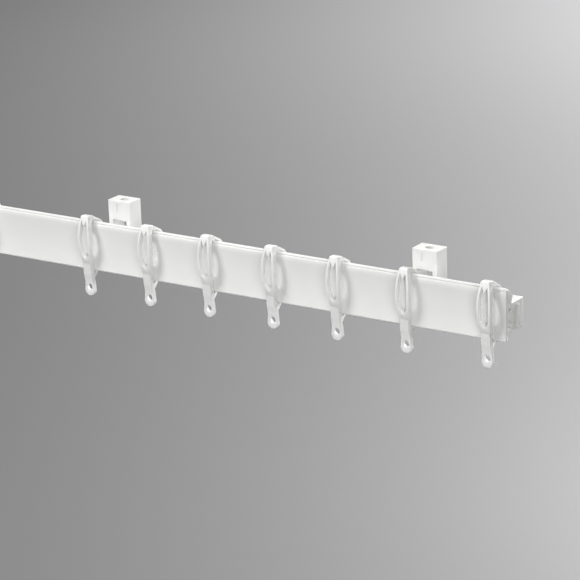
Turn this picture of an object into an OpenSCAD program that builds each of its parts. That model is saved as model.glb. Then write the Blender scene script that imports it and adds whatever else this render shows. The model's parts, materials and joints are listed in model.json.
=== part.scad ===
// Curtain track with clip-on gliders and ceiling brackets, all in white plastic.
// X runs along the track, +Y points to the wall behind it, +Z points up.
// The origin is the centre of the middle bracket's screw hole, on the face that meets the ceiling.

/* [Track] */
// Overall length, over both end stops
track_len = 560; // [320:10:3000]
// Height of the flat front face
face_h = 32; // [26:1:40]
// Thickness of the front face
face_t = 1.7; // [1.2:0.1:2.2]
// Thickness of the walls behind the front face
wall_t = 1.5; // [1:0.1:1.8]
// Height of the leaning strip along the top of the front face
lean_h = 5; // [3:0.5:7]
// How far the leaning strip leans back at its top
lean_y = 1.1; // [0.6:0.1:1.6]
// Width of the rounded bead along the top edge
bead_w = 1.4; // [1:0.1:2]
// Depth of the fine groove under the top bead
groove_t = 0.35; // [0.2:0.05:0.5]
// Radius of the bead along the bottom edge
lip_r = 0.95; // [0.9:0.05:1.2]
// How far the bottom bead stands proud of the front face
lip_proud = 0.2; // [0.1:0.05:0.4]
// Depth of the sloped shoulder, from the front face to its nose
nose_y = 8.35; // [7.5:0.05:9.5]
// Drop of the nose's middle below the top edge
nose_drop = 5.5; // [5:0.1:7]
// Drop of the rear rail's top below the top edge
rail_drop = 10; // [9:0.5:13]
// Height of the rear rail
rail_h = 17.2; // [15:0.2:19]
// Inner depth of the closed chamber behind the front face
chamber_d = 6.6; // [5:0.2:6.8]
// Height of each lip at the mouth of the rear rail
rail_lip = 3; // [2:0.2:4]

/* [End stops] */
// Length of each end stop that shows
stop_len = 8; // [8:0.5:15]
// Radius of the front corners of each end stop
stop_corner = 2; // [1:0.25:3]
// Thickness of each end stop's web, and of its rims
stop_t = 1.6; // [1.2:0.1:2]
// How far each end stop's spigots reach into the track
spigot_len = 9; // [6:1:20]
// Length of the block that stops the gliders' hooks
block_len = 3; // [2:0.5:5]
// How far the rib on each end stop's outer face stands out
rib_out = 1.4; // [0.8:0.2:3]

/* [Brackets] */
// Distance from the track's end to the middle of the outer bracket
bracket_inset = 60; // [40:5:400]
// Width of each bracket along the track
bracket_w = 17; // [15:0.5:24]
// Depth of each bracket, front to back
bracket_d = 11.6; // [11:0.2:16]
// Rise of each bracket's top above the top edge of the track
bracket_rise = 11.6; // [8:0.2:30]
// Height of the solid head that takes the ceiling screw
head_h = 12.3; // [6:0.1:14]
// Thickness of the two legs beside the screwdriver window
leg_t = 3.35; // [2.5:0.05:4]
// Thickness of the plate behind the rail, and of the saddle above it
plate_t = 3; // [2.4:0.1:4]
// Thickness of the saddle that rests on the rail
saddle_t = 1.5; // [1.2:0.1:2.5]
// Diameter of the ceiling screw's hole
screw_d = 5.6; // [4:0.1:6]
// Diameter of the screwdriver's hole through the saddle
driver_d = 8; // [7:0.25:9]
// Radius of the head's upright corners
corner_r = 0.8; // [0.4:0.1:1.2]
// Place of the shallow upright groove on the bracket's front, from its middle
mark_x = -1.9; // [-2.4:0.1:2.4]
// Width of that groove
mark_w = 0.9; // [0.6:0.1:1.5]
// Length of that groove
mark_h = 5.5; // [3:0.5:8]
// Depth of that groove
mark_t = 0.4; // [0.2:0.1:0.6]

/* [Lock levers] */
// Radius of each lever's pin
pin_r = 1.3; // [1:0.1:1.6]
// Radius of the round cam on the pin
cam_r = 2.7; // [2.4:0.1:3.2]
// How far the cam's centre sits from its pin
cam_throw = 0.5; // [0.2:0.1:0.8]
// Reach of the lever forward of its pin
lever_reach = 13.6; // [10:0.2:14]
// Thickness of the lever
lever_t = 2; // [1.5:0.1:2.4]
// Thickness of each of the bracket's two ears
ear_t = 3.1; // [2.4:0.1:3.6]

/* [Gliders] */
// Width of each glider's stem
stem_w = 5.7; // [5:0.1:6.4]
// Depth of each glider's stem
stem_d = 3.6; // [3:0.1:5]
// Width of the long ring at its widest
ring_w = 9; // [7.8:0.1:11]
// Width of the ring's two side strands
strand_w = 1.4; // [1:0.05:1.8]
// Width of the cap, and of the hook behind it
cap_w = 5.6; // [4.5:0.1:6.5]
// Height of the cap above the track's top edge
cap_h = 4.4; // [3.8:0.1:5.2]
// How far the ring bows out in front of the stem
bow_d = 2.6; // [2:0.1:4]
// How far the ring's back stands off from the stem's back
hollow_d = 2.8; // [1.4:0.1:3.2]
// Length of the pointed tooth that hangs in the ring
tooth_h = 5; // [3:0.5:8]
// Width of the hook eye, and diameter of its round foot
eye_d = 7.2; // [6.2:0.1:9]
// Diameter of the hook eye's hole
eye_hole_d = 4.2; // [3:0.1:5]
// Thickness of the hook eye
eye_t = 2.5; // [2:0.1:3.4]
// How far the hook eye's back sits behind the stem's back
eye_back = 0.4; // [0:0.1:1]
// Drop of the eye hole's centre below the track's bottom edge
eye_drop = 10.4; // [9.8:0.2:24]
// Drop of the eye's round foot below the hole, centre to centre
eye_low = 2; // [0.5:0.1:4]
// Thickness of the hook behind the track's nose
hook_t = 2; // [1.6:0.1:2.4]
// Thickness of the strap from the cap to the hook
strap_t = 1.3; // [1:0.1:1.5]

/* [Clearances] */
// Gap between a glider's back and the front face
face_gap = 0.4; // [0.3:0.05:0.6]
// Gap between a glider's hook or finger and the track
slide_gap = 0.45; // [0.35:0.05:0.6]
// Gap between a glider's hook and the fronts of the brackets
pass_gap = 1.1; // [0.5:0.1:3]
// Gap between parts of a bracket and the rail that they hold
grip_gap = 0.25; // [0.1:0.05:0.4]
// Running clearance of each lever on its pin
run_gap = 0.06; // [0.03:0.01:0.1]
// Gap on each side of a lever, between the bracket's ears
side_gap = 0.35; // [0.2:0.05:0.6]
// Gap around the end stops' spigots
spigot_gap = 0.1; // [0.05:0.05:0.2]

/* [Hidden] */
$fn = 48;
cut = 1; // Overshoot of a cut past a face, and overlap of joined shapes
white = [0.93, 0.93, 0.91];
glider_white = [0.96, 0.96, 0.95];

// Places where the gliders rest, as shares of the run from the middle to a stop
spread = [-1, -0.85, -0.69, -0.525, -0.36, -0.057, 0.115, 0.281, 0.454, 0.623, 0.8, 1];
bracket_names = ["left", "middle", "right"];

// The glider's hook behind the nose, from which the brackets and the rail follow
hook_in = nose_y + slide_gap;
hook_back = hook_in + hook_t;
bracket_front = hook_back + pass_gap;
bracket_back = bracket_front + bracket_d;
rail_back = bracket_back - plate_t - grip_gap;
rail_bottom = -rail_drop - rail_h;
rail_mid = face_t + chamber_d;

// The front face's leaning strip is an arc that starts upright
lean_r = (lean_h * lean_h + lean_y * lean_y) / (2 * lean_y);
nose_r = wall_t / 2;
nose_bulge = 0.1; // How far the nose swells under the slope
bead_y = lean_y + bead_w / 2;
slope_dir = atan2(nose_drop, nose_y - nose_r - bead_y);
slope_len = (nose_y - nose_r - bead_y) / cos(slope_dir);
groove_y = lean_r - sqrt(pow(lean_r, 2) - pow(lean_h - bead_w, 2));
nose_z = -nose_drop - bead_w / 2;
pillar_in = 0.25; // How far the pillar stands back from the nose
pillar_y = nose_y - 2 * nose_r - pillar_in - wall_t;

// Where the parts sit along X
track_half = track_len / 2;
profile_len = track_len - 2 * stop_len;
bracket_x = track_half - bracket_inset;
run_half = profile_len / 2 - cap_w / 2 - slide_gap;

// The end stop's hollows, and the rib on its outer face
rim_t = 0.7 * stop_t;
rib_t = 0.75 * stop_t;
rib_y = rail_mid + wall_t + 2 * stop_t;
boss_r = 0.6 * chamber_d;
boss_up = 1; // How far the boss sits above the chamber's middle

// The glider's outlines
stem_back = -face_gap;
stem_front = stem_back - stem_d;
eye_z = -face_h - eye_drop;
eye_foot_z = eye_z - eye_low;
eye_top = eye_z + eye_d; // Where the stem starts to widen into the eye
eye_blend = 0.05; // How far the eye's straight sides run inside its round foot
bend_top = -face_h - 1.5; // Between these heights the stem leans back and thins to the eye
bend_foot = eye_z + 3;
ring_top = cap_h - 1;
ring_bottom = -face_h + 5;
ring_half_h = (ring_top - ring_bottom) / 2;
ring_z = (ring_top + ring_bottom) / 2;
bow_r = (ring_half_h * ring_half_h + bow_d * bow_d) / (2 * bow_d);
hollow_end = 3; // Length of the solid ends above and below the ring's hollow back
hollow_half_h = ring_half_h - hollow_end;
hollow_r = (hollow_half_h * hollow_half_h + hollow_d * hollow_d) / (2 * hollow_d);
flare = (ring_w - stem_w) / 2;
flare_half_h = ring_half_h - cut / 2; // The ring is as narrow as the stem just before its ends
flare_r = (flare_half_h * flare_half_h + flare * flare) / (2 * flare);
cap_r = 1.2;
cap_t = 1.9; // Thickness of the cap above the ring's window
window_z = cap_h - cap_t;
foot_z = ring_bottom + 3.6;
foot_h = 4;
tooth_in = 0.2; // Gap between the tooth's root and each side of the window's outline

// The cap's end over the bead, and the elbow where the strap turns down into the hook
cap_back_y = bead_y + bead_w;
cap_fall = 2.1; // Fall of the cap's top from its front to its back end
elbow_in = 1.4; // How far the elbow's top stands in from the hook's back
elbow_y = hook_back - elbow_in;
elbow_z = nose_z + 5;
elbow_low = nose_z + 3.2;
strap_slope = (cap_h - cap_fall - elbow_z) / (elbow_y - cap_back_y);
strap_drop = strap_t * sqrt(1 + strap_slope * strap_slope);
barb_t = 1;
barb_out = 1;
barb_top = nose_z - nose_r - slide_gap;

// The finger under the bottom edge
finger_t = 1.8;
finger_side = 0.45; // How far the finger is narrower than the stem, each side
finger_w = stem_w - 2 * finger_side;
finger_r = 0.4;
finger_foot = -face_h - 7;
finger_gap = 0.65; // Gap between the finger and the front face's back
finger_in = face_t + finger_gap;
finger_top = -face_h + 2.4;
finger_slant = 1.4;

// The bracket's clip and its lever
pin_y = bracket_back - cam_r - cam_throw;
cam_gap = 0.35; // Gap between the cam at rest and the rail's underside
pin_z = rail_bottom - cam_r - cam_throw - cam_gap;
ear_rim = 0.2; // How far the ears stand out around the cam
ear_r = cam_r + ear_rim;
lever_up = 0.2; // How far the lever's underside sits above the cam's centre
thumb_r = 0.6 * lever_t;
lever_w = bracket_w - 2 * ear_t - 2 * side_gap;
tongue_w = bracket_w - 2 * leg_t;
tongue_t = 1.5;
window_top = bracket_rise - head_h;
saddle_top = -rail_drop + saddle_t;
mark_top = 2.2;

function glider_name(i) = str("glider_", i < 9 ? "0" : "", i + 1);
function bracket_at(i) = (i - 1) * bracket_x;

// Moves from the track's own datum, the front face's top edge, to the part's frame
module on_track() {
    translate([0, -(bracket_front + bracket_back) / 2, -bracket_rise]) children();
}

// Extrudes a side outline, drawn as Y and Z, along X
module along_x(x0, x1) {
    translate([x0, 0, 0]) rotate([90, 0, 90]) linear_extrude(x1 - x0) children();
}

// Extrudes a front outline, drawn as X and Z, along Y
module along_y(y0, y1) {
    translate([0, y1, 0]) rotate([90, 0, 0]) linear_extrude(y1 - y0) children();
}

module box(x0, x1, y0, y1, z0, z1) {
    translate([x0, y0, z0]) cube([x1 - x0, y1 - y0, z1 - z0]);
}

module rect(x0, x1, y0, y1) {
    translate([x0, y0]) square([x1 - x0, y1 - y0]);
}

// A rectangle with round corners, made of exact shapes
module round_rect(x0, x1, y0, y1, r) {
    rect(x0 + r, x1 - r, y0, y1);
    rect(x0, x1, y0 + r, y1 - r);
    for (x = [x0 + r, x1 - r], y = [y0 + r, y1 - r]) translate([x, y]) circle(r);
}

// ---- Track ----

// The flat front face, with its leaning top strip and its two beads
module face_outline() {
    difference() {
        union() {
            rect(0, face_t, -face_h + lip_r, -lean_h);
            intersection() {
                rect(0, bead_y, -lean_h, -bead_w / 2);
                translate([lean_r, -lean_h]) circle(lean_r, $fn = 120);
            }
            translate([bead_y, -bead_w / 2]) circle(bead_w / 2);
            translate([lip_r - lip_proud, -face_h + lip_r]) circle(lip_r);
        }
        translate([groove_y, -bead_w]) circle(groove_t);
        intersection() {
            translate([lean_r + face_t, -lean_h]) circle(lean_r, $fn = 120);
            rect(0, lean_r, -lean_h, -bead_w);
        }
    }
}

// The sloped shoulder that the gliders' hooks ride over, and the pillar under it
module shoulder_outline() {
    translate([bead_y, -bead_w / 2]) rotate(-slope_dir)
        rect(0, slope_len, nose_bulge - nose_r, nose_r);
    translate([nose_y - nose_r, nose_z]) circle(nose_r);
    difference() {
        rect(pillar_y, pillar_y + wall_t, -rail_drop - wall_t / 2, -nose_drop / 2);
        translate([bead_y, -bead_w / 2]) rotate(-slope_dir) rect(0, slope_len, 0, slope_len);
    }
}

// The chamber and the open rail behind the front face
module rail_outline() {
    difference() {
        rect(face_t / 2, rail_back, rail_bottom, -rail_drop);
        rect(face_t, rail_mid, rail_bottom + wall_t, -rail_drop - wall_t);
        rect(rail_mid + wall_t, rail_back - wall_t, rail_bottom + wall_t, -rail_drop - wall_t);
        rect(rail_back - 2 * wall_t, rail_back + cut,
             rail_bottom + wall_t + rail_lip, -rail_drop - wall_t - rail_lip);
    }
}

module track_profile() {
    color(white) on_track() along_x(-profile_len / 2, profile_len / 2) {
        face_outline();
        shoulder_outline();
        rail_outline();
    }
}

// ---- End stops ----

// The filled outline that an end stop shows from its side
module stop_outline() {
    face_outline();
    shoulder_outline();
    polygon([[face_t / 2, -lean_h], [bead_y, -bead_w], [nose_y - nose_r, nose_z],
             [pillar_y + wall_t, -rail_drop - wall_t], [face_t / 2, -rail_drop - wall_t]]);
    rect(face_t / 2, rail_back, rail_bottom, -rail_drop);
}

// The round-ended hollow in the front chamber, which bends around a boss
module stop_chamber(g) {
    difference() {
        rect(face_t + g, rail_mid - g, rail_bottom + wall_t + g, -rail_drop - wall_t - g);
        translate([rail_mid - g, (rail_bottom - rail_drop) / 2 + boss_up]) circle(boss_r);
    }
}

// The hollow in the rear rail, between the rib and the rail's lips
module stop_channel(g) {
    rect(rail_mid + wall_t + g, rail_back - 2 * wall_t - g,
         rail_bottom + wall_t + g, -rail_drop - wall_t - g);
}

// An end stop drawn for the track's +X end, with its inner face at x = 0
module end_stop() {
    difference() {
        union() {
            intersection() {
                along_x(0, stop_len) stop_outline();
                along_y(-cut, rail_back + cut)
                    round_rect(-2 * stop_corner, stop_len, -face_h, 0, stop_corner);
            }
            along_x(0, block_len)
                rect(pillar_y + wall_t / 2, hook_back, -rail_drop - wall_t / 2, nose_z);
            along_x(-spigot_len, cut) {
                stop_chamber(spigot_gap);
                stop_channel(spigot_gap);
            }
        }
        along_x(-spigot_len - cut, stop_len + cut) stop_chamber(rim_t);
        along_x(stop_t, stop_len + cut) stop_channel(rim_t);
    }
    along_x(0, stop_len + rib_out)
        rect(rib_y, rib_y + rib_t, rail_bottom + wall_t / 2, -rail_drop - 1.6 * wall_t);
}

module end_stop_right() {
    color(white) on_track() translate([profile_len / 2, 0, 0]) end_stop();
}

module end_stop_left() {
    color(white) on_track() mirror([1, 0, 0]) translate([profile_len / 2, 0, 0]) end_stop();
}

// ---- Brackets ----

// The clip behind the rail: plate, saddle, tongue and the lever's two ears
module clip() {
    w = bracket_w / 2;
    box(-w, w, bracket_back - plate_t, bracket_back, pin_z, saddle_top);
    box(-w, w, bracket_front, bracket_back, -rail_drop, saddle_top);
    tongue_top = -rail_drop - wall_t - rail_lip - grip_gap;
    tongue_y = rail_back - wall_t - grip_gap;
    along_x(-tongue_w / 2, tongue_w / 2) {
        rect(tongue_y - tongue_t, bracket_back - plate_t / 2, tongue_top - tongue_t, tongue_top);
        rect(tongue_y - tongue_t, tongue_y, tongue_top - tongue_t, -rail_drop - wall_t - grip_gap);
    }
    for (x = [-w, w - ear_t]) along_x(x, x + ear_t) {
        translate([pin_y, pin_z]) circle(ear_r);
        rect(pin_y, bracket_back, pin_z - ear_r, pin_z);
    }
}

module bracket(i) {
    w = bracket_w / 2;
    mid_y = (bracket_front + bracket_back) / 2;
    color(white) on_track() translate([bracket_at(i), 0, 0]) difference() {
        union() {
            translate([0, 0, saddle_top])
                linear_extrude(bracket_rise - saddle_top)
                round_rect(-w, w, bracket_front, bracket_back, corner_r);
            clip();
        }
        box(-w + leg_t, w - leg_t, bracket_front - cut, bracket_back + cut, saddle_top, window_top);
        translate([0, mid_y, window_top - cut]) cylinder(h = head_h + 2 * cut, d = screw_d);
        translate([0, mid_y, -rail_drop - cut]) cylinder(h = saddle_t + 2 * cut, d = driver_d);
        // The lever's slot between the ears, and the ears' bores
        box(-w + ear_t, w - ear_t, bracket_back - plate_t - cut, bracket_back + cut,
            pin_z - cut, rail_bottom + grip_gap);
        translate([-w - cut, pin_y, pin_z]) rotate([0, 90, 0])
            cylinder(h = bracket_w + 2 * cut, r = pin_r);
        // The shallow upright groove on the front
        box(mark_x - mark_w / 2, mark_x + mark_w / 2, bracket_front - cut,
            bracket_front + mark_t, bracket_rise - mark_top - mark_h, bracket_rise - mark_top);
    }
}

// ---- Lock levers and their pins ----

module lock_lever(i) {
    color(white) on_track() translate([bracket_at(i), pin_y, pin_z]) difference() {
        along_x(-lever_w / 2, lever_w / 2) {
            translate([0, cam_throw]) circle(cam_r);
            rect(-lever_reach + lever_t, 0, cam_throw + lever_up, cam_throw + lever_up + lever_t);
            translate([-lever_reach + lever_t, cam_throw + lever_up + lever_t / 2]) circle(lever_t / 2);
            // The thumb ridge under the lever's end
            translate([-lever_reach + 2 * thumb_r, cam_throw]) circle(thumb_r);
        }
        translate([-lever_w, 0, 0]) rotate([0, 90, 0]) cylinder(h = 2 * lever_w, r = pin_r + run_gap);
    }
}

module lever_pin(i) {
    color("silver") on_track() translate([bracket_at(i) - bracket_w / 2, pin_y, pin_z])
        rotate([0, 90, 0]) cylinder(h = bracket_w, r = pin_r);
}

// ---- Gliders ----

// A tall outline with bowed sides, w wide at the ring's middle
module lens(w) {
    intersection() {
        translate([flare_r - w / 2, ring_z]) circle(flare_r, $fn = 240);
        translate([w / 2 - flare_r, ring_z]) circle(flare_r, $fn = 240);
        rect(-w, w, ring_bottom - cut, ring_top);
    }
}

// The long ring from the side: it bows out in front and stands off from the face behind
module bow_outline() {
    difference() {
        intersection() {
            translate([stem_front - bow_d + bow_r, ring_z]) circle(bow_r, $fn = 180);
            rect(stem_front - bow_d, stem_back, ring_bottom - cut, ring_top);
        }
        translate([stem_back - hollow_d + hollow_r, ring_z]) circle(hollow_r, $fn = 180);
    }
}

// The stem from the side, set back at the eye
module stem_outline() {
    eye_rear = stem_back + eye_back;
    eye_front = eye_rear - eye_t;
    polygon([[stem_front, ring_bottom + 2 * cut], [stem_back, ring_bottom + 2 * cut],
             [stem_back, bend_top], [eye_rear, bend_foot], [eye_rear, eye_foot_z - eye_d],
             [eye_front, eye_foot_z - eye_d], [eye_front, bend_foot], [stem_front, bend_top]]);
}

// The stem from the front, widening into the eye's round foot
module eye_outline() {
    side = eye_d / 2 - eye_blend;
    rect(-stem_w / 2, stem_w / 2, eye_z, ring_bottom + 2 * cut);
    translate([0, eye_foot_z]) circle(eye_d / 2);
    polygon([[-stem_w / 2, eye_top], [-side, eye_foot_z], [side, eye_foot_z], [stem_w / 2, eye_top]]);
}

// The strap's top surface, which runs straight from the cap's back end to the elbow
function strap_z(y) = elbow_z + (elbow_y - y) * strap_slope;

// The cap over the bead, and the strap that runs down to a hook with a barb under the nose
module hook_outline() {
    difference() {
        union() {
            translate([stem_front + cap_r, cap_h - cap_r]) circle(cap_r);
            polygon([[stem_front, ring_top - cut], [stem_front, cap_h - cap_r],
                     [stem_front + cap_r, cap_h], [bead_w / 2, strap_z(bead_w / 2)],
                     [elbow_y, elbow_z], [hook_back, elbow_low],
                     [hook_back, barb_top - barb_t], [hook_in - barb_out, barb_top - barb_t],
                     [hook_in - barb_out, barb_top], [hook_in, barb_top],
                     [hook_in, strap_z(hook_in) - strap_drop],
                     [cap_back_y, strap_z(cap_back_y) - strap_drop], [cap_back_y, -bead_w],
                     [bead_y, 0], [stem_back, slide_gap], [stem_back, ring_top - cut]]);
        }
        // Room for the track's bead, shoulder and nose
        translate([bead_y, -bead_w / 2]) circle(bead_w / 2 + slide_gap);
        translate([bead_y, -bead_w / 2]) rotate(-slope_dir)
            rect(0, slope_len, -nose_r, nose_r + slide_gap);
        translate([nose_y - nose_r, nose_z]) circle(nose_r + slide_gap);
    }
}

// The finger that reaches under the bottom edge and up behind the front face
module finger_outline() {
    low = -face_h - lip_r - slide_gap;
    finger_back = finger_in + finger_t;
    polygon([[stem_back, low], [finger_in - finger_r, low + finger_r], [finger_in, low + 2 * finger_r],
             [finger_in, finger_top], [finger_back, finger_top],
             [finger_back, low], [finger_back - cut, low - finger_slant],
             [stem_back - cut, finger_foot], [stem_back - cut, low]]);
}

// The ring's window, pointed at its foot, around the tooth that hangs from the cap
module glider_window() {
    w = ring_w - 2 * strand_w;
    difference() {
        intersection() {
            lens(w);
            polygon([[0, foot_z], [w / 2, foot_z + foot_h], [w / 2, window_z],
                     [-w / 2, window_z], [-w / 2, foot_z + foot_h]]);
        }
        polygon([[-w / 2 + tooth_in, ring_top], [w / 2 - tooth_in, ring_top],
                 [0, window_z - tooth_h]]);
    }
}

module glider(i) {
    reach = hook_back + stem_d + bow_d;
    color(glider_white) on_track() translate([spread[i] * run_half, 0, 0]) difference() {
        union() {
            intersection() {
                along_x(-ring_w, ring_w) bow_outline();
                along_y(-reach, reach) lens(ring_w);
            }
            intersection() {
                along_x(-eye_d, eye_d) stem_outline();
                along_y(-reach, reach) eye_outline();
            }
            intersection() {
                along_x(-cap_w, cap_w) hook_outline();
                along_y(-reach, reach) round_rect(-cap_w / 2, cap_w / 2, -rail_drop, cap_h, cap_r);
            }
            along_x(-finger_w / 2, finger_w / 2) finger_outline();
        }
        along_y(-reach, stem_back) glider_window();
        along_y(-reach, reach) translate([0, eye_z]) circle(d = eye_hole_d);
    }
}

track_profile();
end_stop_left();
end_stop_right();
for (i = [0 : 2]) {
    bracket(i);
    lock_lever(i);
    lever_pin(i);
}
for (i = [0 : len(spread) - 1]) glider(i);
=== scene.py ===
import bpy
import json
import math
from mathutils import Matrix, Vector

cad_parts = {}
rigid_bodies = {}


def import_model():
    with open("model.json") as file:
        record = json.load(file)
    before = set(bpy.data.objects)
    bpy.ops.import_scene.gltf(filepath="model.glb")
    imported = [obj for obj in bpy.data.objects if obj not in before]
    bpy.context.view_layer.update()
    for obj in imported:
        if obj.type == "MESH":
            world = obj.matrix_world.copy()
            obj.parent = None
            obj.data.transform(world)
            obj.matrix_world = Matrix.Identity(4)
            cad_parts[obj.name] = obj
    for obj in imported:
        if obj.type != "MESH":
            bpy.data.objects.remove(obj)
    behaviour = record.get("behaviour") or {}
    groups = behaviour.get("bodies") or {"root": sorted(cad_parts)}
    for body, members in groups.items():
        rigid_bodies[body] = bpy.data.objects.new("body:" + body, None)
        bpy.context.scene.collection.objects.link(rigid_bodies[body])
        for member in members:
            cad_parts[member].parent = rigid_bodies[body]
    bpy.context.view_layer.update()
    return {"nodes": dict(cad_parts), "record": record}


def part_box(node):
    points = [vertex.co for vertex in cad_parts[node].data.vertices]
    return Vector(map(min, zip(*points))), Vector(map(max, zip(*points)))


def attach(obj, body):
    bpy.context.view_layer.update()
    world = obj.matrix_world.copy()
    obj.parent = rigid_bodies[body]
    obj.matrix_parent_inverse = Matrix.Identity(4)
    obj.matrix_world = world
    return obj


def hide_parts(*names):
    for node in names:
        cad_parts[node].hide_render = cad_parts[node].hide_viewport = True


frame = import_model()
nodes = frame["nodes"]
bpy.ops.object.select_all(action="DESELECT")
print("stage: frame loaded,", len(nodes), "nodes")


# a socket with arithmetic: each operator adds its Math node
class Flow:
    def __init__(self, tree, socket=None):
        self.tree = tree
        self.socket = socket

    def node(self, kind, settings=None, output=0, **inputs):
        # settings first, then values or links by socket name, or s and the socket's number
        made = self.tree.nodes.new(kind)
        for key, value in (settings or {}).items():
            setattr(made, key, value)
        for key, value in inputs.items():
            socket = made.inputs[int(key[1:]) if key[1:].isdigit() else key.replace("_", " ")]
            if isinstance(value, Flow):
                self.tree.links.new(value.socket, socket)
            else:
                socket.default_value = value
        return Flow(self.tree, made.outputs[output])

    def maths(self, operation, a, b):
        return self.node("ShaderNodeMath", {"operation": operation}, s0=a, s1=b)

    def __add__(self, other):
        return self.maths("ADD", self, other)

    def __radd__(self, other):
        return self.maths("ADD", other, self)

    def __mul__(self, other):
        return self.maths("MULTIPLY", self, other)

    def noise(self, scale, detail, rough):
        return self.node("ShaderNodeTexNoise", Vector=self, Scale=scale, Detail=detail, Roughness=rough)

    def stretched(self, scale):
        return self.node("ShaderNodeMapping", {"vector_type": "POINT"}, Vector=self, Scale=scale)

    # 0 at the first value and 1 at the second, held beyond them
    def ramp(self, start, stop):
        return self.node("ShaderNodeMapRange", {"clamp": True}, Value=self, s1=start, s2=stop, s3=0.0, s4=1.0)

    def drives(self, socket):
        self.tree.links.new(self.socket, socket)


# the Mix node's factor is socket 0, its colours are sockets 6 and 7, and its mixed colour is output 2
def mixColours(flow, factor, first, second):
    made = flow.tree.nodes.new("ShaderNodeMix")
    made.data_type = "RGBA"
    for place, value in ((0, factor), (6, first), (7, second)):
        if isinstance(value, Flow):
            flow.tree.links.new(value.socket, made.inputs[place])
        else:
            made.inputs[place].default_value = value
    return Flow(flow.tree, made.outputs[2])


# a new material, its shader, and the object's own coordinates
def blankFinish(name):
    made = bpy.data.materials.new(name)
    made.use_nodes = True
    tree = made.node_tree
    place = Flow(tree).node("ShaderNodeTexCoord", output=3)
    return made, tree.nodes["Principled BSDF"], place


# white plastics: colour, how dark its clouds go, shine, grain, drawing lines, and how much the corners are
# whitened as wear with a painted highlight
plastics = {
    "trackPlastic": {"colour": (0.83, 0.83, 0.815), "dark": 0.93, "rough": 0.34, "grain": 0.12,
                     "lines": 0.5, "wearAndHighlight": 0.25},
    "endStopPlastic": {"colour": (0.80, 0.80, 0.785), "dark": 0.92, "rough": 0.40, "grain": 0.22,
                       "lines": 0, "wearAndHighlight": 0.35},
    "bracketPlastic": {"colour": (0.83, 0.83, 0.815), "dark": 0.92, "rough": 0.42, "grain": 0.25,
                       "lines": 0, "wearAndHighlight": 0.35},
    "glidePlastic": {"colour": (0.91, 0.91, 0.90), "dark": 0.94, "rough": 0.27, "grain": 0.15,
                     "lines": 0, "wearAndHighlight": 0.3},
    "leverPlastic": {"colour": (0.81, 0.81, 0.795), "dark": 0.92, "rough": 0.38, "grain": 0.22,
                     "lines": 0, "wearAndHighlight": 0.4},
}
# what every plastic shares; a noise is its scale per metre, its detail and its roughness
plasticBody = {
    "bend": 1.49, "glow": 0.08, "depth": (0.0014, 0.0013, 0.0012), "spread": 1.0,
    "cloud": (45.0, 4.0, 0.6), "smear": (260.0, 3.0, 0.7), "fine": (2400.0, 2.0, 0.5),
    "drawn": (900.0, 3.0, 0.55), "stretch": (0.01, 1, 1),
    # the dusting weight and the dust colour on the next line darken the hollows, as dust and painted shade
    "corner": (0.52, 0.62), "hollow": (0.48, 0.36), "clouding": 0.75, "dustAndShadeAmount": 0.5,
    # the corner whitening factor at the end of this line is wear and a painted highlight
    "dustAndShadeColour": (0.62, 0.60, 0.56, 1), "wornHighlightWhiten": 1.05,
    "polish": 0.08, "cloudRough": 0.08, "smearRough": 0.10, "rubbedRough": 0.06,
    "smearHeight": 0.25, "bump": 0.35, "bumpDepth": 0.00006,
}


def plastic(name):
    look = {**plasticBody, **plastics[name]}
    made, shader, place = blankFinish(name)
    shader.inputs["IOR"].default_value = look["bend"]
    shader.inputs["Subsurface Weight"].default_value = look["glow"]
    shader.inputs["Subsurface Radius"].default_value = look["depth"]
    shader.inputs["Subsurface Scale"].default_value = look["spread"]
    # pointiness, above a half on corners and below it in hollows
    edge = place.node("ShaderNodeNewGeometry", output=7)
    cloud = place.noise(*look["cloud"])
    smear = place.noise(*look["smear"])
    fine = place.noise(*look["fine"])
    # the lines run along X, as the die draws them
    drawn = place.stretched(look["stretch"]).noise(*look["drawn"])
    # corners are whitened as rubbed wear plus a painted highlight, and the hollows between them take a dust
    # colour that is also painted shade
    wornHighlitCorners = edge.ramp(*look["corner"])
    dustAndShadeHollows = edge.ramp(*look["hollow"])
    clean = look["colour"] + (1,)
    dull = tuple(part * look["dark"] for part in look["colour"]) + (1,)
    wornHighlightColour = tuple(min(1, part * look["wornHighlightWhiten"]) for part in look["colour"]) + (1,)
    colour = mixColours(place, cloud * look["clouding"], clean, dull)
    # corners lighter: partly wear, partly a painted highlight
    colour = mixColours(place, wornHighlitCorners * look["wearAndHighlight"], colour, wornHighlightColour)
    # hollows darkened towards a dust colour: partly dust, partly painted shade
    colour = mixColours(place, dustAndShadeHollows * smear * look["dustAndShadeAmount"], colour, look["dustAndShadeColour"])
    rough = look["rough"] - look["polish"] + cloud * look["cloudRough"]
    rough = rough + smear * look["smearRough"] + wornHighlitCorners * look["rubbedRough"]
    height = fine * look["grain"] + drawn * look["lines"] + smear * look["smearHeight"]
    colour.drives(shader.inputs["Base Color"])
    rough.drives(shader.inputs["Roughness"])
    bump = place.node("ShaderNodeBump", Strength=look["bump"], Distance=look["bumpDepth"], Height=height)
    bump.drives(shader.inputs["Normal"])
    return made


pinLook = {
    "colour": (0.56, 0.56, 0.57, 1), "dull": (0.36, 0.35, 0.34, 1), "dulling": 0.8,
    "spots": (700.0, 4.0, 0.7), "turned": (4000.0, 2.0, 0.5), "stretch": (1, 0.05, 0.05),
    "rough": 0.28, "spotRough": 0.25, "bump": 0.4, "bumpDepth": 0.00003,
}


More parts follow.
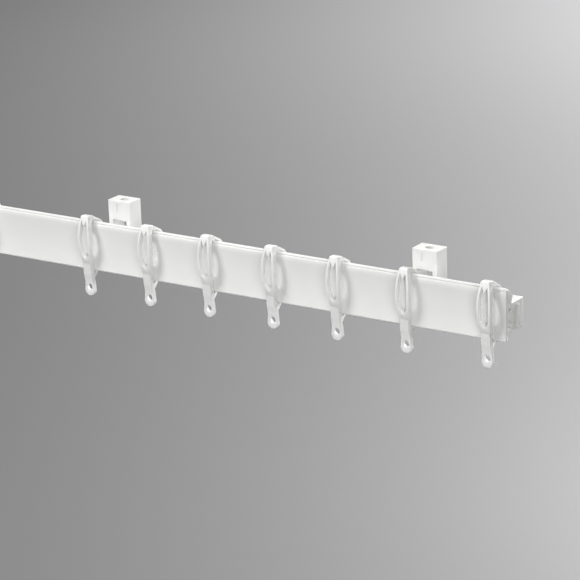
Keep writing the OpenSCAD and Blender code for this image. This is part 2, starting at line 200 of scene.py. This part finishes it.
def pinMetal(name, look):
    made, shader, place = blankFinish(name)
    shader.inputs["Metallic"].default_value = 1
    spots = place.noise(*look["spots"])
    # the turning marks run round the pin
    turned = place.stretched(look["stretch"]).noise(*look["turned"])
    colour = mixColours(place, spots * look["dulling"], look["colour"], look["dull"])
    rough = spots * look["spotRough"] + look["rough"]
    colour.drives(shader.inputs["Base Color"])
    rough.drives(shader.inputs["Roughness"])
    bump = place.node("ShaderNodeBump", Strength=look["bump"], Distance=look["bumpDepth"], Height=turned)
    bump.drives(shader.inputs["Normal"])
    return made


finishes = {name: plastic(name) for name in plastics}
finishes["pinMetal"] = pinMetal("pinMetal", pinLook)
print("stage: materials")

# corners closer than merge become one, and faces that differ by less than flat (degrees) become one;
# near is how close a corner must be to a plain height, and tiny merges corners after the rounding
cleaning = {"merge": 0.00008, "flat": 1.4, "near": 0.0001, "tiny": 0.000002}


def onlyThis(piece):
    bpy.ops.object.select_all(action="DESELECT")
    piece.select_set(True)
    bpy.context.view_layer.objects.active = piece


def bodyOf(name):
    for body, members in frame["record"]["behaviour"]["bodies"].items():
        if name in members:
            return body


def dressed(piece, name, finish):
    piece.data.materials.clear()
    piece.data.materials.append(finishes[finish])
    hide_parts(name)
    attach(piece, bodyOf(name))


# a copy of a node's shape with its flats cleaned up, ready for rounding
def cleanCopy(name, title):
    onlyThis(nodes[name])
    bpy.ops.object.duplicate()
    piece = bpy.context.object
    bpy.ops.object.parent_clear(type="CLEAR_KEEP_TRANSFORM")
    bpy.ops.object.transform_apply(location=True, rotation=True, scale=True)
    for key in list(piece.keys()):
        del piece[key]
    piece.name = title
    bpy.ops.object.mode_set(mode="EDIT")
    bpy.ops.mesh.select_all(action="SELECT")
    bpy.ops.mesh.customdata_custom_splitnormals_clear()
    bpy.ops.mesh.remove_doubles(threshold=cleaning["merge"])
    bpy.ops.mesh.dissolve_degenerate(threshold=cleaning["merge"])
    bpy.ops.mesh.select_all(action="SELECT")
    bpy.ops.mesh.dissolve_limited(angle_limit=math.radians(cleaning["flat"]))
    bpy.ops.mesh.normals_make_consistent(inside=False)
    bpy.ops.object.mode_set(mode="OBJECT")
    return piece


# selects the sharp edges, but none that touches a depth below the piece's top listed in the look's plain
def selectSharp(piece, look):
    top = max(vertex.co.z for vertex in piece.data.vertices)
    plain = {vertex.index for vertex in piece.data.vertices
             if any(abs(top - vertex.co.z - down) < cleaning["near"] for down in look["plain"])}
    bpy.ops.object.mode_set(mode="EDIT")
    bpy.ops.mesh.select_mode(type="EDGE")
    bpy.ops.mesh.select_all(action="DESELECT")
    bpy.ops.mesh.edges_select_sharp(sharpness=math.radians(look["above"]))
    bpy.ops.object.mode_set(mode="OBJECT")
    kept = [edge.index for edge in piece.data.edges if edge.select and not {*edge.vertices} & plain]
    for group in (piece.data.polygons, piece.data.edges, piece.data.vertices):
        for part in group:
            part.select = False
    for index in kept:
        piece.data.edges[index].select = True


def rounded(piece, look):
    onlyThis(piece)
    selectSharp(piece, look)
    bpy.ops.object.mode_set(mode="EDIT")
    bpy.ops.mesh.bevel(offset=look["round"], segments=look["steps"], affect="EDGES", clamp_overlap=False,
                       loop_slide=False)
    bpy.ops.mesh.select_all(action="SELECT")
    bpy.ops.mesh.remove_doubles(threshold=cleaning["tiny"])
    bpy.ops.mesh.normals_make_consistent(inside=False)
    bpy.ops.mesh.select_mode(type="VERT")
    bpy.ops.object.mode_set(mode="OBJECT")
    bpy.ops.object.shade_smooth_by_angle(angle=math.radians(look["smooth"]))
    return piece


# in a look, round is the bevel's width in metres, above and smooth are angles in degrees, and plain
# lists the depths left sharp; one glider is rounded, then copied to every place
gliderLook = {"round": 0.00024, "steps": 2, "above": 38, "smooth": 40, "plain": []}
gliderNames = sorted(name for name in nodes if name.startswith("glider"))
firstGlider = rounded(cleanCopy(gliderNames[0], "gliderShape"), gliderLook)
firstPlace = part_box(gliderNames[0])[0][0]
for name in gliderNames[1:]:
    onlyThis(firstGlider)
    bpy.ops.object.duplicate()
    glider = bpy.context.object
    glider.name = name.replace("_", "Moulding")
    bpy.ops.transform.translate(value=(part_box(name)[0][0] - firstPlace, 0, 0))
    bpy.ops.object.transform_apply(location=True)
    dressed(glider, name, "glidePlastic")
firstGlider.name = gliderNames[0].replace("_", "Moulding")
dressed(firstGlider, gliderNames[0], "glidePlastic")
print("stage: gliders", len(gliderNames))

# on the bracket, the edges that touch the saddle's top stay sharp
bracketLook = {"round": 0.00032, "steps": 3, "above": 40, "smooth": 40, "plain": [0.0201]}
leverLook = {"round": 0.0003, "steps": 2, "above": 40, "smooth": 40, "plain": []}
pinShape = {"round": 0.0002, "steps": 2, "above": 50, "smooth": 40, "plain": []}
clipPieces = (("bracket_", "bracketMoulding", bracketLook, "bracketPlastic", "bracket_plastic"),
              ("lock_lever_", "leverMoulding", leverLook, "leverPlastic", "lever_plastic"),
              ("lever_pin_", "turnedPin", pinShape, "pinMetal", "pin_steel"))
for side in ("left", "middle", "right"):
    for start, title, look, finish, slotName in clipPieces:
        dressed(rounded(cleanCopy(start + side, title + side), look), start + side, finish)
print("stage: brackets, levers and pins")

stopLook = {"round": 0.0003, "steps": 2, "above": 40, "smooth": 40, "plain": []}
for side in ("left", "right"):
    name = "end_stop_" + side
    dressed(rounded(cleanCopy(name, "endStopMoulding" + side), stopLook), name, "endStopPlastic")
trackLook = {"round": 0.00018, "steps": 2, "above": 40, "smooth": 40, "plain": []}
dressed(rounded(cleanCopy("track_profile", "trackExtrusion"), trackLook), "track_profile", "trackPlastic")
print("stage: track and end stops")

cameraLook = {"place": (0.97605, -1.27600, 0.45990), "azimuth": 33.8, "elevation": 18.07,
              "roll": -1.9, "lens": 166.2, "nearest": 0.05, "farthest": 30}


def addCamera():
    data = bpy.data.cameras.new("camera")
    data.lens = cameraLook["lens"]
    data.clip_start = cameraLook["nearest"]
    data.clip_end = cameraLook["farthest"]
    camera = bpy.data.objects.new("camera", data)
    bpy.context.scene.collection.objects.link(camera)
    turn = (Matrix.Rotation(math.radians(cameraLook["azimuth"]), 3, "Z")
            @ Matrix.Rotation(math.radians(90 - cameraLook["elevation"]), 3, "X")
            @ Matrix.Rotation(math.radians(cameraLook["roll"]), 3, "Z"))
    camera.rotation_euler = turn.to_euler()
    camera.location = cameraLook["place"]
    bpy.context.scene.camera = camera


lamps = {
    "keyLamp": {"place": (-0.9, -1.1, 1.3), "aim": (0.1, 0, -0.03), "size": 0.7, "power": 26},
    "frontLamp": {"place": (0.35, -1.9, 0.25), "aim": (0.1, 0, -0.03), "size": 1.5, "power": 5.0},
    "rightLamp": {"place": (2.4, -2.2, 0.6), "aim": (0.1, 0, -0.03), "size": 2.0, "power": 48},
    "topLamp": {"place": (0.1, 0.2, 1.5), "aim": (0.1, 0, -0.03), "size": 1.0, "power": 14},
    # these point at the floor, and light it more to the right than to the left
    "nearFloorLamp": {"place": (0.45, 0.8, 0.2), "aim": (0.4, 0.85, -0.45), "size": 0.3, "power": 22},
    "midFloorLamp": {"place": (0.3, 1.7, 0.3), "aim": (0.25, 1.75, -0.45), "size": 0.4, "power": 20},
    "farFloorLamp": {"place": (-0.2, 3.0, 0.8), "aim": (-0.5, 2.9, -0.45), "size": 0.9, "power": 148},
}


def addLamp(name, look):
    data = bpy.data.lights.new(name, "AREA")
    data.shape = "SQUARE"
    data.size = look["size"]
    data.energy = look["power"]
    lamp = bpy.data.objects.new(name, data)
    bpy.context.scene.collection.objects.link(lamp)
    lamp.location = look["place"]
    aim = Vector(look["aim"]) - Vector(look["place"])
    lamp.rotation_euler = aim.to_track_quat("-Z", "Y").to_euler()


floorLook = {"height": -0.45, "size": 12, "colour": (0.120, 0.119, 0.121), "rough": 0.9, "sky": 0.06}


def addFloor():
    bpy.ops.mesh.primitive_plane_add(size=floorLook["size"], location=(0, 0, floorLook["height"]))
    floor = bpy.context.object
    floor.name = "floor"
    made = bpy.data.materials.new("floorPaint")
    made.use_nodes = True
    shader = made.node_tree.nodes["Principled BSDF"]
    shader.inputs["Base Color"].default_value = floorLook["colour"] + (1,)
    shader.inputs["Roughness"].default_value = floorLook["rough"]
    floor.data.materials.append(made)


def addSky():
    world = bpy.data.worlds.new("world")
    world.use_nodes = True
    world.node_tree.nodes["Background"].inputs["Color"].default_value = (1, 1, 1, 1)
    world.node_tree.nodes["Background"].inputs["Strength"].default_value = floorLook["sky"]
    bpy.context.scene.world = world
    bpy.context.scene.view_settings.view_transform = "Standard"


addCamera()
for name, look in lamps.items():
    addLamp(name, look)
addFloor()
addSky()
print("stage: camera, lights and floor")
